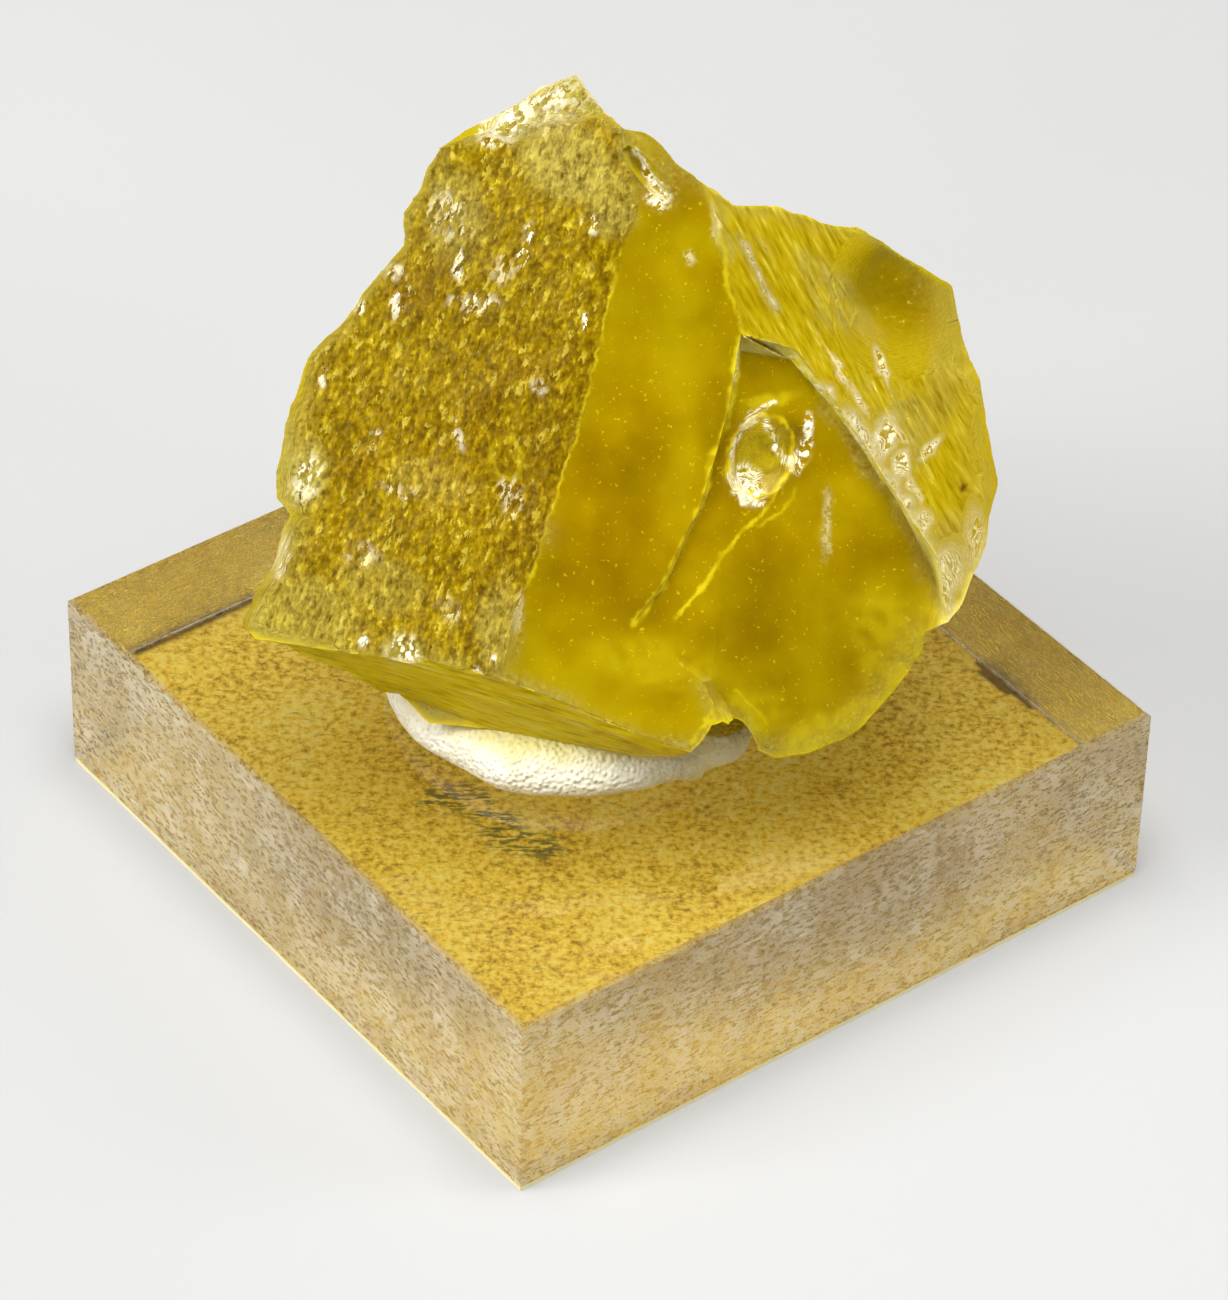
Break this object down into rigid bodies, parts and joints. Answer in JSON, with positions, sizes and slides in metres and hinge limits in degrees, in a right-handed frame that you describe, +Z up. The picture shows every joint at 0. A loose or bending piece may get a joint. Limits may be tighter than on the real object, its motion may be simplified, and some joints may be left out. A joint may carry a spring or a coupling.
{
  "type": "rough fluorite specimen on an acrylic base",
  "caption": "Cleaved, partly etched yellow fluorite crystal set in white mounting putty on a square clear acrylic block with kraft backing paper.",
  "frame": {"origin": "centre of the flat underside of the backing paper, which is what the object stands on", "axes": "+Z up; +X and +Y along the sides of the square base; the crystal's broad faces look towards the corner between -X and -Y, turned 38 degrees from -Y"},
  "size_m": [0.05, 0.05, 0.0537],
  "materials": {
    "fluorite": "vitreous cleavage faces, dull etched face",
    "putty": "matte, pressed by hand",
    "acrylic": "polished top, sawn and lightly buffed sides",
    "kraft_paper": "unbleached masking paper"
  },
  "bodies": {
    "root": {"fluorite": "fluorite", "putty": "putty", "acrylic_base": "acrylic", "paper_backing": "kraft_paper"}
  },
  "joints": []
}
